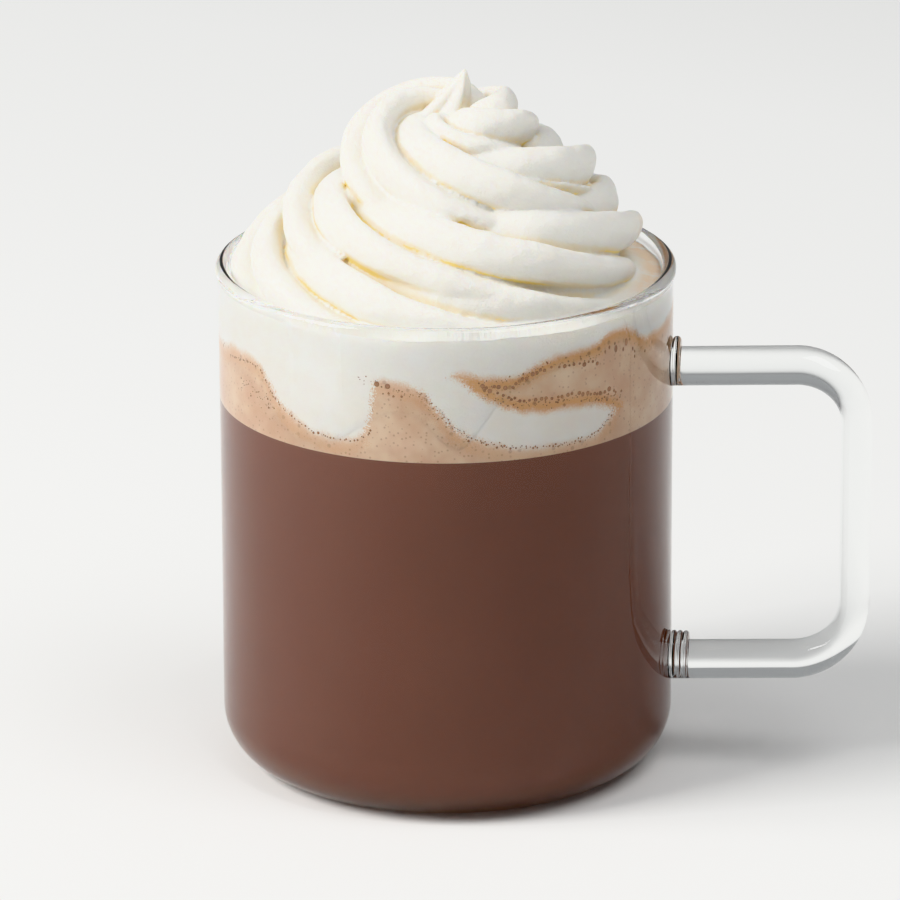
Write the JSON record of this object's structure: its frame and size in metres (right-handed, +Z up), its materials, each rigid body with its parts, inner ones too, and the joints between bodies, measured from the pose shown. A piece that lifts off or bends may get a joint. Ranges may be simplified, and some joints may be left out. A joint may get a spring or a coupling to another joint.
{
  "type": "caffe mocha in a glass mug with whipped cream",
  "caption": "Clear glass mug with a rod handle, filled with mocha and milk foam and topped with a piped swirl of whipped cream.",
  "frame": {"origin": "centre of the mug's flat base, on the surface it stands on", "axes": "+Z up, +X towards the handle, -Y towards the viewer"},
  "size_m": [0.1244, 0.087, 0.1362],
  "materials": {
    "mug_glass": "clear polished borosilicate glass",
    "mocha_brown": "milky chocolate coffee, smooth and wet against the glass",
    "foam_tan": "milk foam stained tan by coffee, with fine bubbles",
    "cream_white": "soft satin whipped cream"
  },
  "bodies": {
    "root": {"glass_mug": "mug_glass", "mocha": "mocha_brown", "milk_foam": "foam_tan", "whipped_cream": "cream_white"}
  },
  "joints": []
}
